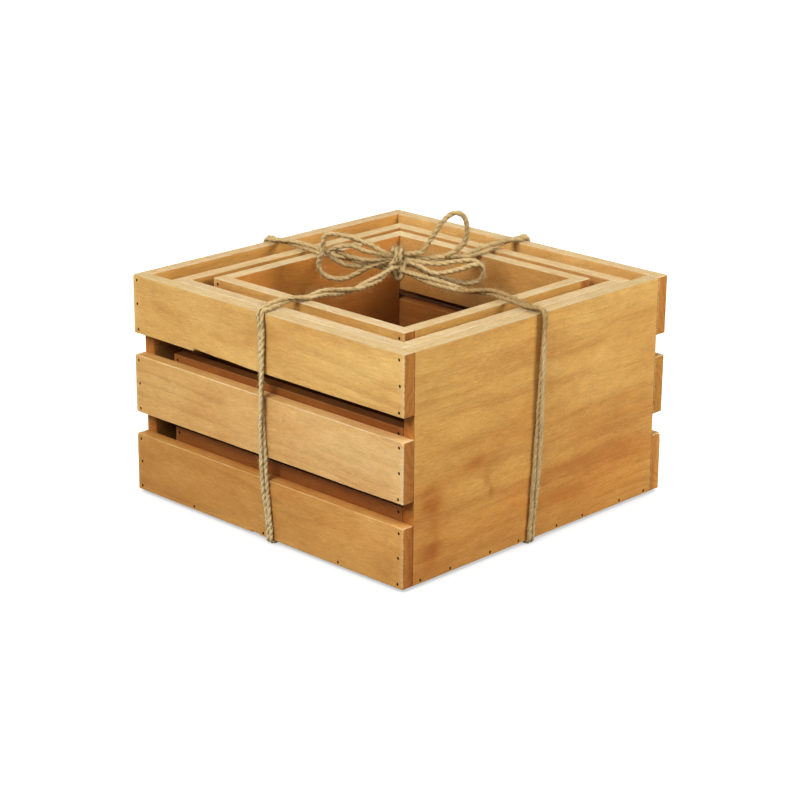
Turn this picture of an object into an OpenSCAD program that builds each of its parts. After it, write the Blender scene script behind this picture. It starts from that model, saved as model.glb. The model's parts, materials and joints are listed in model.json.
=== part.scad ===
// Nest of three slatted wooden crates, tied crosswise with doubled twine and a bow.
// The large crate holds the medium one and the medium one holds the small one,
// with all three rims level. X runs along the slats, Y across them, +Z is up.
// Front is -Y and left is -X.
// The origin is the middle of the large crate on the surface the bundle stands on.

/* [Large crate] */
// Outside length of the large crate, along its slats
large_length = 300; // [296:1:320]
// Outside width of the large crate, across its slats
large_width = 303; // [296:1:320]
// Height of the large crate, from its underside to its rim
large_height = 182; // [178:1:200]

/* [Medium crate] */
// Outside length of the medium crate, along its slats
medium_length = 254; // [244:1:262]
// Outside width of the medium crate, across its slats
medium_width = 258; // [248:1:262]

/* [Small crate] */
// Outside length of the small crate, along its slats
small_length = 210; // [196:1:212]
// Outside width of the small crate, across its slats
small_width = 212; // [200:1:214]
// How far the small crate sits from the middle of the medium one, along the slats
small_shift_x = -3.6; // [-5:0.1:5]
// How far the small crate sits from the middle of the medium one, across the slats
small_shift_y = 4.1; // [-5:0.1:5]

/* [Boards] */
// Thickness of every slat, end panel and floor board
board_t = 11; // [9:0.5:12]
// Width of a slat of the large and medium crates
slat_width = 48.5; // [44:0.5:50]
// Width of a slat of the small crate
small_slat_width = 47.5; // [44:0.5:48]
// Sanded chamfer on the boards' outer edges
edge_chamfer = 0.8; // [0.2:0.1:1.5]

/* [Brads] */
// Radius of a brad
brad_radius = 0.8; // [0.5:0.05:1]
// Length of a brad
brad_length = 17; // [14:1:17]
// Depth of a brad's head below the wood's surface
brad_sink = 0.5; // [0.2:0.1:1]
// How far hand-driven brads stray from their marks
brad_scatter = 0.5; // [0:0.1:0.6]

/* [Twine] */
// Radius of one cord of the doubled twine
cord_radius = 1.8; // [1:0.1:2]
// Thickness of the cords where the bundle's weight flattens them
cord_flat = 2.4; // [1.6:0.1:2.6]
// Half length of the bow's left loops
bow_left_reach = 33; // [24:1:36]
// Half length of the bow's right loop
bow_right_reach = 27; // [20:1:32]

/* [Hidden] */

large_wood = "#c89a58";
medium_wood = "#c28f55";
small_wood = "#cfa263";
floor_wood = "#b9854a";
end_wood = "#c4925a";
brad_steel = "#3a2a1e";
jute = "#b4946a";

// clearances: between crates side by side and one on another, cord and wood, brad and hole
side_gap = 0.5;
seat_gap = 0.1;
cord_gap = 0.1;
hole_gap = 0.05;

// heights: the bundle stands on the flattened cords
base_z = cord_flat;
rim_z = base_z + large_height;
seat_rise = board_t + seat_gap;

// how far an inner crate can move from the middle of the outer one
function play(outer, inner) = (outer - inner) / 2 - board_t - side_gap;
function clamp(value, limit) = max(-limit, min(limit, value));

// the medium crate is pushed into the large one's front right corner
medium_x = play(large_length, medium_length);
medium_y = -play(large_width, medium_width);
small_x = medium_x + clamp(small_shift_x, play(medium_length, small_length));
small_y = medium_y + clamp(small_shift_y, play(medium_width, small_width));

// fields of a crate; PLACE is the middle of its underside, SEED varies its brads' scatter
LENGTH = 0;
WIDTH = 1;
HEIGHT = 2;
SLAT_WIDTH = 3;
BOARD_COUNT = 4;
PLACE = 5;
SEED = 6;
LARGE = [large_length, large_width, large_height, slat_width, 4, [0, 0, base_z], 11];
MEDIUM = [medium_length, medium_width, large_height - seat_rise, slat_width, 4,
          [medium_x, medium_y, base_z + seat_rise], 37];
SMALL = [small_length, small_width, large_height - 2 * seat_rise, small_slat_width, 3,
         [small_x, small_y, base_z + 2 * seat_rise], 71];

// Throughout, end is -1 left or 1 right, and side is -1 front or 1 back.
// Slats count from 0 at the bottom, floor boards from 0 at the front.
ENDS = [-1, 1];
SIDES = [-1, 1];
SLATS = [0:2];

module in_place(crate) { translate(crate[PLACE]) children(); }

// height of a slat's lower edge above the crate's underside
function slat_z(crate, slat) = slat * (crate[HEIGHT] - crate[SLAT_WIDTH]) / 2;
// floor boards fill the width between the slats, evenly spaced
function floor_pitch(crate) =
    (crate[WIDTH] - 2 * board_t - crate[SLAT_WIDTH]) / (crate[BOARD_COUNT] - 1);
function floor_y(crate, board) = (board - (crate[BOARD_COUNT] - 1) / 2) * floor_pitch(crate);

// brads -----------------------------------------------------------------
// how far slat brads stand outward from the middle of the end panel's thickness
slat_brad_shift = 0.6;
// heights of a slat's three brads above its lower edge
function brad_marks(width) = [3.6, width / 2, width - 5];
// height of the brads driven into the floor boards
floor_brad_z = 2.7;
// distance of end-panel brads from a floor board's middle, as a share of its width
floor_brad_spread = 0.33;
// pitch of the brads along a bottom slat, as a share of the crate's length
side_brad_spread = 0.265;

// shank sizes over a brad's own: [radius, length outward, length inward]
BRAD = [0, 0, 0];
SHORT_HOLE = [hole_gap, brad_sink, 0.3];
LONG_HOLE = [hole_gap, brad_sink + 1, 0.3];

// repeatable stray of a brad; key tells a crate's brads apart
function stray(crate, key) = brad_scatter * sin((crate[SEED] + key) * 137.5);

function slat_brad_x(crate, side, end, slat, mark) =
    end * (crate[LENGTH] / 2 - board_t / 2 + slat_brad_shift)
    + stray(crate, 31 * slat + 7 * mark + 3 * end + 17 * side);
// the lowest brad of a slat strays less in height
function slat_brad_z(crate, side, end, slat, mark) =
    slat_z(crate, slat) + brad_marks(crate[SLAT_WIDTH])[mark]
    + (mark == 0 ? 0.4 : 1.6) * stray(crate, 13 * slat + 29 * mark + 5 * end + 11 * side);
function side_brad_x(crate, side, mark) =
    mark * side_brad_spread * crate[LENGTH] + 6 * stray(crate, 41 * mark + 7 * side);
function floor_brad_y(crate, end, board, mark) =
    floor_y(crate, board) + mark * floor_brad_spread * crate[SLAT_WIDTH]
    + stray(crate, 19 * board + 23 * mark + 3 * end);

module shank(fit) {
    translate([0, 0, brad_sink - fit[1]])
        cylinder(r = brad_radius + fit[0], h = brad_length + fit[1] + fit[2], $fn = 24);
}
// a shank driven inward through a side's outer face
module side_shank(crate, x, z, side, fit) {
    translate([x, side * crate[WIDTH] / 2, z]) rotate([side * 90, 0, 0]) shank(fit);
}

// shanks through the slats into the end panels
module slat_shanks(crate, fit, sides = SIDES, ends = ENDS, slats = SLATS) {
    for (side = sides, end = ends, slat = slats, mark = [0:2])
        side_shank(crate, slat_brad_x(crate, side, end, slat, mark),
                   slat_brad_z(crate, side, end, slat, mark), side, fit);
}
// shanks through the bottom slats into the outer floor boards
module side_shanks(crate, fit, sides = SIDES) {
    for (side = sides, mark = [-1:1])
        side_shank(crate, side_brad_x(crate, side, mark), floor_brad_z, side, fit);
}
// shanks through the end panels into the floor boards
module floor_shanks(crate, fit, ends, boards) {
    for (end = ends, board = boards, mark = [-1, 1])
        translate([end * crate[LENGTH] / 2, floor_brad_y(crate, end, board, mark), floor_brad_z])
            rotate([0, -end * 90, 0]) shank(fit);
}

module brads(crate) {
    color(brad_steel) in_place(crate) {
        slat_shanks(crate, BRAD);
        side_shanks(crate, BRAD);
        floor_shanks(crate, BRAD, ENDS, [0:crate[BOARD_COUNT] - 1]);
    }
}

// boards ----------------------------------------------------------------
// an outline with its outer face at 0, turned to face the given way, -1 or 1
function facing(way, points) = [for (point = points) [way * point[0], point[1]]];

// a slat, its two outer long edges sanded off
module slat(crate, side, slat) {
    width = crate[SLAT_WIDTH];
    outline = [
        [0, edge_chamfer], [0, width - edge_chamfer], [-edge_chamfer, width],
        [-board_t, width], [-board_t, 0], [-edge_chamfer, 0]
    ];
    in_place(crate) difference() {
        translate([-crate[LENGTH] / 2, side * crate[WIDTH] / 2, slat_z(crate, slat)])
            rotate([90, 0, 90])
                linear_extrude(height = crate[LENGTH]) polygon(facing(side, outline));
        slat_shanks(crate, LONG_HOLE, sides = [side], slats = [slat]);
        if (slat == 0) side_shanks(crate, LONG_HOLE, [side]);
    }
}

// solid end panel, both its rim edges and its outer foot edge sanded off
module end_panel(crate, end) {
    width = crate[WIDTH] - 2 * board_t;
    height = crate[HEIGHT];
    outline = [
        [0, edge_chamfer], [0, height - edge_chamfer], [-edge_chamfer, height],
        [-board_t + edge_chamfer, height], [-board_t, height - edge_chamfer],
        [-board_t, 0], [-edge_chamfer, 0]
    ];
    color(end_wood) in_place(crate) difference() {
        translate([end * crate[LENGTH] / 2, width / 2, 0]) rotate([90, 0, 0])
            linear_extrude(height = width) polygon(facing(end, outline));
        slat_shanks(crate, SHORT_HOLE, ends = [end]);
        floor_shanks(crate, LONG_HOLE, [end], [0:crate[BOARD_COUNT] - 1]);
    }
}

// a floor board lies between the end panels
module floor_board(crate, board) {
    length = crate[LENGTH] - 2 * board_t;
    width = crate[SLAT_WIDTH];
    color(floor_wood) in_place(crate) difference() {
        translate([-length / 2, floor_y(crate, board) - width / 2, 0])
            cube([length, width, board_t]);
        floor_shanks(crate, LONG_HOLE, ENDS, [board]);
        if (board == 0) side_shanks(crate, LONG_HOLE, [-1]);
        if (board == crate[BOARD_COUNT] - 1) side_shanks(crate, LONG_HOLE, [1]);
    }
}

// twine -----------------------------------------------------------------
PAIR = [-0.5, 0.5];
cord_pitch = 2 * cord_radius + 0.2;
cord_off = cord_radius + cord_gap;
// distance of the legs' cords from the middle, and of their outer faces
leg_x = large_length / 2 + cord_off;
leg_y = large_width / 2 + cord_off;
reach_x = leg_x + cord_radius;
reach_y = leg_y + cord_radius;
// the run along X lies in the gap between the two middle floor boards
floor_gap = floor_pitch(LARGE) - slat_width;
run_y = -min(10.8, floor_gap / 2 - cord_pitch - 0.4);
run_x = 9;
// the run along X humps over the run along Y
hump_half = cord_pitch + 2.2;
hump_foot = hump_half + 6;
hump_rise = cord_flat + 0.1;

module under_profile_x() {
    polygon([
        [-reach_x, 0], [run_x - hump_foot, 0],
        [run_x - hump_half, hump_rise], [run_x + hump_half, hump_rise],
        [run_x + hump_foot, 0], [reach_x, 0],
        [reach_x, cord_flat], [run_x + hump_foot, cord_flat],
        [run_x + hump_half, cord_flat + hump_rise], [run_x - hump_half, cord_flat + hump_rise],
        [run_x - hump_foot, cord_flat], [-reach_x, cord_flat]
    ]);
}
module twine_under_x() {
    color(jute) for (cord = PAIR)
        translate([0, run_y + cord * cord_pitch + cord_radius, 0]) rotate([90, 0, 0])
            linear_extrude(height = 2 * cord_radius) under_profile_x();
}
module twine_under_y() {
    color(jute) for (cord = PAIR)
        translate([run_x + cord * cord_pitch - cord_radius, -reach_y, 0])
            cube([2 * cord_radius, 2 * reach_y, cord_flat]);
}

knot_x = -6;
knot_y = 3;
knot_radius = 8;
knot_z = rim_z + 9.5;
// the bow springs from a little above the middle of the knot
bow_z = knot_z + 4;

// the legs' cords start just outside the knot, this high
leg_start = knot_radius + 0.2;
leg_start_z = rim_z + 4;
leg_foot_z = base_z + 0.35;
bend_radius = cord_radius + 0.06;

// a straight cord between two points
module cord(from, to) {
    run = to - from;
    length = norm(run);
    translate(from) rotate([0, acos(run[2] / length), atan2(run[1], run[0])])
        cylinder(r = cord_radius, h = length, $fn = 24);
}

// one leg: a doubled cord from the knot over the rims, then down the outside.
// outward is the direction to the rim, reach the distance to the outside run;
// top and foot are the pair's sideways places at the rim and at the underside
module leg(outward, reach, top, foot) {
    sideways = [-outward[1], outward[0], 0];
    color(jute) for (cord = PAIR) {
        offset_y = cord * cord_pitch;
        start = [knot_x, knot_y, leg_start_z] + leg_start * outward + offset_y * sideways;
        bend = reach * outward + (top + offset_y) * sideways + [0, 0, rim_z + cord_off];
        end = reach * outward + (foot + offset_y) * sideways + [0, 0, leg_foot_z];
        cord(start, bend);
        translate(bend) sphere(r = bend_radius, $fn = 24);
        cord(bend, end);
    }
}
module twine_leg_front() { leg(outward = [0, -1, 0], reach = leg_y, top = 1, foot = run_x); }
module twine_leg_back() { leg(outward = [0, 1, 0], reach = leg_y, top = 1, foot = -run_x); }
module twine_leg_left() { leg(outward = [-1, 0, 0], reach = leg_x, top = 3.5, foot = -run_y); }
module twine_leg_right() { leg(outward = [1, 0, 0], reach = leg_x, top = -1.4, foot = run_y); }

module twine_knot() {
    color(jute) translate([knot_x, knot_y, knot_z]) sphere(r = knot_radius, $fn = 48);
}

// a long ring of cord lying in the XY plane, one end at the origin
module ring(half_length, half_width) {
    straight = half_length - half_width;
    translate([half_length, 0, 0])
        for (turn = [0, 180]) rotate([0, 0, turn]) {
            translate([straight, 0, 0]) rotate([0, 0, -90])
                rotate_extrude(angle = 180, $fn = 48)
                    translate([half_width, 0]) circle(r = cord_radius, $fn = 20);
            translate([-straight, half_width, 0]) rotate([0, 90, 0])
                cylinder(r = cord_radius, h = 2 * straight, $fn = 20);
        }
}
module tail(length) { rotate([0, 90, 0]) cylinder(r = cord_radius, h = length, $fn = 24); }

// sets a piece of the bow on the knot: rise is its angle above level,
// roll its turn about its own length
module on_knot(heading, rise, roll = 0) {
    translate([knot_x, knot_y, bow_z])
        rotate([0, 0, heading]) rotate([0, -rise, 0]) rotate([roll, 0, 0])
            translate([knot_radius + cord_radius + 0.8, 0, 0]) children();
}
// a small loop inside a large one
module bow_loops_left() {
    color(jute) on_knot(heading = 229, rise = 8, roll = 63) {
        ring(bow_left_reach, half_width = 16);
        translate([5, 0, 0]) ring(bow_left_reach - 9, half_width = 9);
    }
}
module bow_loop_right() {
    color(jute) on_knot(heading = 44, rise = -13, roll = 88)
        ring(bow_right_reach, half_width = 7.5);
}
module bow_loop_upright() {
    color(jute) on_knot(heading = 59, rise = 31, roll = 103)
        ring(bow_right_reach + 1, half_width = 8);
}
module twine_tails() {
    color(jute) {
        on_knot(heading = 200, rise = 27) tail(length = 26);
        on_knot(heading = 20, rise = 14) tail(length = 40);
    }
}

// crate pieces ----------------------------------------------------------
module large_left_end() { end_panel(LARGE, -1); }
module large_right_end() { end_panel(LARGE, 1); }
module large_front_slat_bottom() { color(large_wood) slat(LARGE, -1, 0); }
module large_front_slat_middle() { color(large_wood) slat(LARGE, -1, 1); }
module large_front_slat_top() { color(large_wood) slat(LARGE, -1, 2); }
module large_back_slat_bottom() { color(large_wood) slat(LARGE, 1, 0); }
module large_back_slat_middle() { color(large_wood) slat(LARGE, 1, 1); }
module large_back_slat_top() { color(large_wood) slat(LARGE, 1, 2); }
module large_floor_board_1() { floor_board(LARGE, 0); }
module large_floor_board_2() { floor_board(LARGE, 1); }
module large_floor_board_3() { floor_board(LARGE, 2); }
module large_floor_board_4() { floor_board(LARGE, 3); }
module large_brads() { brads(LARGE); }

module medium_left_end() { end_panel(MEDIUM, -1); }
module medium_right_end() { end_panel(MEDIUM, 1); }
module medium_front_slat_bottom() { color(medium_wood) slat(MEDIUM, -1, 0); }
module medium_front_slat_middle() { color(medium_wood) slat(MEDIUM, -1, 1); }
module medium_front_slat_top() { color(medium_wood) slat(MEDIUM, -1, 2); }
module medium_back_slat_bottom() { color(medium_wood) slat(MEDIUM, 1, 0); }
module medium_back_slat_middle() { color(medium_wood) slat(MEDIUM, 1, 1); }
module medium_back_slat_top() { color(medium_wood) slat(MEDIUM, 1, 2); }
module medium_floor_board_1() { floor_board(MEDIUM, 0); }
module medium_floor_board_2() { floor_board(MEDIUM, 1); }
module medium_floor_board_3() { floor_board(MEDIUM, 2); }
module medium_floor_board_4() { floor_board(MEDIUM, 3); }
module medium_brads() { brads(MEDIUM); }

module small_left_end() { end_panel(SMALL, -1); }
module small_right_end() { end_panel(SMALL, 1); }
module small_front_slat_bottom() { color(small_wood) slat(SMALL, -1, 0); }
module small_front_slat_middle() { color(small_wood) slat(SMALL, -1, 1); }
module small_front_slat_top() { color(small_wood) slat(SMALL, -1, 2); }
module small_back_slat_bottom() { color(small_wood) slat(SMALL, 1, 0); }
module small_back_slat_middle() { color(small_wood) slat(SMALL, 1, 1); }
module small_back_slat_top() { color(small_wood) slat(SMALL, 1, 2); }
module small_floor_board_1() { floor_board(SMALL, 0); }
module small_floor_board_2() { floor_board(SMALL, 1); }
module small_floor_board_3() { floor_board(SMALL, 2); }
module small_brads() { brads(SMALL); }

large_left_end();
large_right_end();
large_front_slat_bottom();
large_front_slat_middle();
large_front_slat_top();
large_back_slat_bottom();
large_back_slat_middle();
large_back_slat_top();
large_floor_board_1();
large_floor_board_2();
large_floor_board_3();
large_floor_board_4();
large_brads();
twine_under_x();
twine_under_y();
medium_left_end();
medium_right_end();
medium_front_slat_bottom();
medium_front_slat_middle();
medium_front_slat_top();
medium_back_slat_bottom();
medium_back_slat_middle();
medium_back_slat_top();
medium_floor_board_1();
medium_floor_board_2();
medium_floor_board_3();
medium_floor_board_4();
medium_brads();
small_left_end();
small_right_end();
small_front_slat_bottom();
small_front_slat_middle();
small_front_slat_top();
small_back_slat_bottom();
small_back_slat_middle();
small_back_slat_top();
small_floor_board_1();
small_floor_board_2();
small_floor_board_3();
small_brads();
twine_leg_front();
twine_leg_back();
twine_leg_left();
twine_leg_right();
twine_knot();
bow_loops_left();
bow_loop_right();
bow_loop_upright();
twine_tails();
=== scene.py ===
import json
import math

import bpy
import numpy as np
from mathutils import Matrix, Vector


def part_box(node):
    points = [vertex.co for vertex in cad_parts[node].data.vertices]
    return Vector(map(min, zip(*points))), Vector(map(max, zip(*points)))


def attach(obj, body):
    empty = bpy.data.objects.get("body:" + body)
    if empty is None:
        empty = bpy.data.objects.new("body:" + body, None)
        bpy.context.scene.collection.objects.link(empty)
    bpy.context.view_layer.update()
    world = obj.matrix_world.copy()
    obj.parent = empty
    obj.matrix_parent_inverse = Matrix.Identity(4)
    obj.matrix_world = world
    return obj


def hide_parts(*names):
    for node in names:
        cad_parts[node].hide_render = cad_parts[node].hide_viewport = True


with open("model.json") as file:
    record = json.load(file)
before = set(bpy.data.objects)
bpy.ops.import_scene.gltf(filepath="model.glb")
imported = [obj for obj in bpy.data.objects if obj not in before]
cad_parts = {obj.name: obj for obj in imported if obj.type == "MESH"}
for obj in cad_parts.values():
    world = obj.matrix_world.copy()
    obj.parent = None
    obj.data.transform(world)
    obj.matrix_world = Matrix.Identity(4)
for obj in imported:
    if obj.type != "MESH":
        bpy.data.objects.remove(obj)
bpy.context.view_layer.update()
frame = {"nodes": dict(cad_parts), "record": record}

MM = 0.001
RNG = np.random.default_rng(20)


# ------------------------------------------------------------------ numbers
def box_mm(node):
    lo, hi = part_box(node)
    return np.array(lo) / MM, np.array(hi) / MM


def smooth(a, b, x):
    t = np.clip((np.asarray(x, float) - a) / (b - a), 0, 1)
    return t * t * (3 - 2 * t)


def lattice(i, j, k, seed):
    n = (i * 73856093) ^ (j * 19349663) ^ (k * 83492791) ^ (seed * 2654435761)
    n = (n ^ (n >> 13)) & 0xFFFFFFFF
    n = (n * 1274126177) & 0xFFFFFFFF
    n = (n ^ (n >> 16)) & 0xFFFFFFFF
    n = (n * 2246822519) & 0xFFFFFFFF
    return ((n >> 9) & 0xFFFF) / 32767.5 - 1.0


def noise(p, scale, seed):
    """Smooth value noise from -1 to 1 at points p (n, 3), one lattice step per scale."""
    q = np.asarray(p, float) / np.asarray(scale, float)
    f = np.floor(q).astype(np.int64)
    t = q - f
    t = t * t * (3 - 2 * t)
    out = np.zeros(len(q))
    for a in (0, 1):
        for b in (0, 1):
            for c in (0, 1):
                w = (
                    (t[:, 0] if a else 1 - t[:, 0])
                    * (t[:, 1] if b else 1 - t[:, 1])
                    * (t[:, 2] if c else 1 - t[:, 2])
                )
                out += w * lattice(f[:, 0] + a, f[:, 1] + b, f[:, 2] + c, seed)
    return out


# ------------------------------------------------------------------ meshes
def mesh_object(name, co, quads, tris=None, attributes=None):
    quads = np.asarray(quads, np.int32).reshape(-1, 4)
    tris = np.zeros((0, 3), np.int32) if tris is None else np.asarray(tris, np.int32).reshape(-1, 3)
    me = bpy.data.meshes.new(name)
    me.vertices.add(len(co))
    me.vertices.foreach_set("co", (np.asarray(co) * MM).astype(np.float32).ravel())
    me.loops.add(len(quads) * 4 + len(tris) * 3)
    me.loops.foreach_set("vertex_index", np.concatenate([quads.ravel(), tris.ravel()]))
    me.polygons.add(len(quads) + len(tris))
    starts = np.concatenate([np.arange(len(quads)) * 4, len(quads) * 4 + np.arange(len(tris)) * 3])
    me.polygons.foreach_set("loop_start", starts.astype(np.int32))
    me.update(calc_edges=True)
    me.shade_smooth()
    for key, values in (attributes or {}).items():
        values = np.asarray(values, np.float32)
        kind = "FLOAT" if values.ndim == 1 else "FLOAT_VECTOR"
        a = me.attributes.new(key, kind, "POINT")
        a.data.foreach_set("value" if kind == "FLOAT" else "vector", values.ravel())
    ob = bpy.data.objects.new(name, me)
    bpy.context.scene.collection.objects.link(ob)
    return ob


def ticks(lo, hi, r, step, extra=()):
    e = np.array([0, 0.1, 0.24, 0.42, 0.65, 0.95, 1.3, 1.8]) * r
    n = max(2, int(round((hi - lo - 2 * e[-1]) / step)) + 1)
    inner = np.linspace(lo + e[-1], hi - e[-1], n)
    t = np.concatenate([lo + e[:-1], inner, (hi - e[:-1])[::-1], [x for x in extra if lo < x < hi]])
    t = np.unique(np.round(t, 3))
    keep = [t[0]]
    for x in t[1:]:
        if x - keep[-1] > 0.05:
            keep.append(x)
    keep[-1] = t[-1]
    return np.array(keep)


def box_grid(T):
    """The surface of a box as quads on a grid of the given ticks, outward."""
    n = [len(t) for t in T]
    idx = -np.ones(n, np.int64)
    I, J, K = np.indices(n)
    s = (I == 0) | (I == n[0] - 1) | (J == 0) | (J == n[1] - 1) | (K == 0) | (K == n[2] - 1)
    idx[s] = np.arange(s.sum())
    co = np.stack([T[0][I[s]], T[1][J[s]], T[2][K[s]]], 1)
    quads = []
    for ax in range(3):
        a, b = (ax + 1) % 3, (ax + 2) % 3
        for side in (0, n[ax] - 1):
            g = np.take(idx, side, axis=ax)
            if a > b:
                g = g.T
            q = np.stack([g[:-1, :-1], g[1:, :-1], g[1:, 1:], g[:-1, 1:]], -1).reshape(-1, 4)
            quads.append(q[:, ::-1] if side == 0 else q)
    return co, np.concatenate(quads)


# ------------------------------------------------------------------ boards
# chips: a wedge knocked off an edge or corner. at = the corner, out = its outward signs,
# size = how far the wedge reaches along each axis; a profile runs along an edge chip.
def knock(p, at, out, size, wobble, seed):
    d = (np.asarray(at) - p) * np.asarray(out)
    inv = np.where(np.isfinite(size), 1.0 / np.maximum(size, 1e-3), 0.0)
    inv = np.broadcast_to(inv, p.shape)
    rough = 1 + wobble * noise(p, 2.3, seed) + 0.6 * wobble * noise(p, 0.9, seed + 1)
    s = (np.maximum(d, 0) * inv).sum(1)
    t = np.where(s < rough, (rough - s) / np.maximum((inv**2).sum(1), 1e-9), 0)
    t[(inv.max(1) > 900)] = 0
    return p - t[:, None] * inv * np.asarray(out)


def edge_chip(p, x0, x1, y, z, oy, oz, dy, dz, shape, seed):
    """A splinter gone from a slat's long edge between x0 and x1."""
    u = (p[:, 0] - x0) / (x1 - x0)
    depth = np.interp(u, [q[0] for q in shape], [q[1] for q in shape], left=0, right=0)
    on = depth > 0.03
    if not on.any():
        return p
    q = p[on]
    depth = depth[on] * (1 + 0.16 * noise(q, (6, 50, 50), seed))
    size = np.stack([np.full(len(q), 1e9), dy * depth, dz * depth], 1)
    q2 = knock(q, (0, y, z), (0, oy, oz), size, 0.12, seed + 3)
    p = p.copy()
    p[on] = q2
    return p


def brad_list(node):
    """Each brad of a CAD brads node: (axis, direction inward, head point) in mm."""
    me = frame["nodes"][node].data
    co = np.array([v.co for v in me.vertices], float) / MM
    parent = np.arange(len(co))

    def find(a):
        while parent[a] != a:
            parent[a] = parent[parent[a]]
            a = parent[a]
        return a

    # the import may split vertices along sharp edges, so equal points are joined first
    seen = {}
    for i, c in enumerate(map(tuple, np.round(co, 4))):
        if c in seen:
            parent[find(i)] = find(seen[c])
        else:
            seen[c] = i
    for e in me.edges:
        a, b = find(e.vertices[0]), find(e.vertices[1])
        if a != b:
            parent[a] = b
    roots = np.array([find(i) for i in range(len(co))])
    lo, hi = box_mm(node)
    mid = (lo + hi) / 2
    out = []
    for r in np.unique(roots):
        part = co[roots == r]
        a, b = part.min(0), part.max(0)
        ax = int(np.argmax(b - a))
        c = (a + b) / 2
        sign = 1.0 if c[ax] > mid[ax] else -1.0
        head = c.copy()
        head[ax] = b[ax] if sign > 0 else a[ax]
        out.append((ax, -sign, head))
    return out


def drill(ob, holes, radius, depth_past):
    """Cuts a recess down to each brad's head. A hole is (axis, inward sign, head point)."""
    if not holes:
        return
    n = 20
    co, quads, tris = [], [], []
    for ax, inward, head in holes:
        base = len(co)
        b, c = (ax + 1) % 3, (ax + 2) % 3
        for along in (head[ax] - inward * 3.0, head[ax] + inward * depth_past):
            for k in range(n):
                q = [0, 0, 0]
                q[ax] = along
                a = 2 * math.pi * k / n
                rb, rc = (1.0, 1.22) if c == 2 else (1.22, 1.0)
                q[b] = head[b] + radius * rb * math.cos(a) * (1 + 0.06 * math.sin(3 * a + head[b]))
                q[c] = head[c] + radius * rc * math.sin(a) * (1 + 0.06 * math.cos(2 * a + head[c]))
                co.append(q)
        co.append([0, 0, 0])
        co[-1] = list(np.mean(co[base:base + n], 0))
        co.append(list(np.mean(co[base + n:base + 2 * n], 0)))
        flip = inward < 0
        for k in range(n):
            l = (k + 1) % n
            q = [base + k, base + l, base + n + l, base + n + k]
            t1 = [base + 2 * n, base + l, base + k]
            t2 = [base + 2 * n + 1, base + n + k, base + n + l]
            quads.append(q[::-1] if flip else q)
            tris += [t1[::-1] if flip else t1, t2[::-1] if flip else t2]
    cutter = mesh_object(ob.name + "_cutter", np.array(co), quads, tris)
    mod = ob.modifiers.new("holes", "BOOLEAN")
    mod.operation = "DIFFERENCE"
    mod.solver = "MANIFOLD"
    mod.object = cutter
    dg = bpy.context.evaluated_depsgraph_get()
    made = bpy.data.meshes.new_from_object(ob.evaluated_get(dg))
    old = ob.data
    ob.modifiers.remove(mod)
    ob.data = made
    bpy.data.meshes.remove(old)
    made.name = ob.name
    cm = cutter.data
    bpy.data.objects.remove(cutter)
    bpy.data.meshes.remove(cm)


AXES = {"slat": (0, 2, 1), "end": (1, 2, 0), "floor": (0, 1, 2)}


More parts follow.
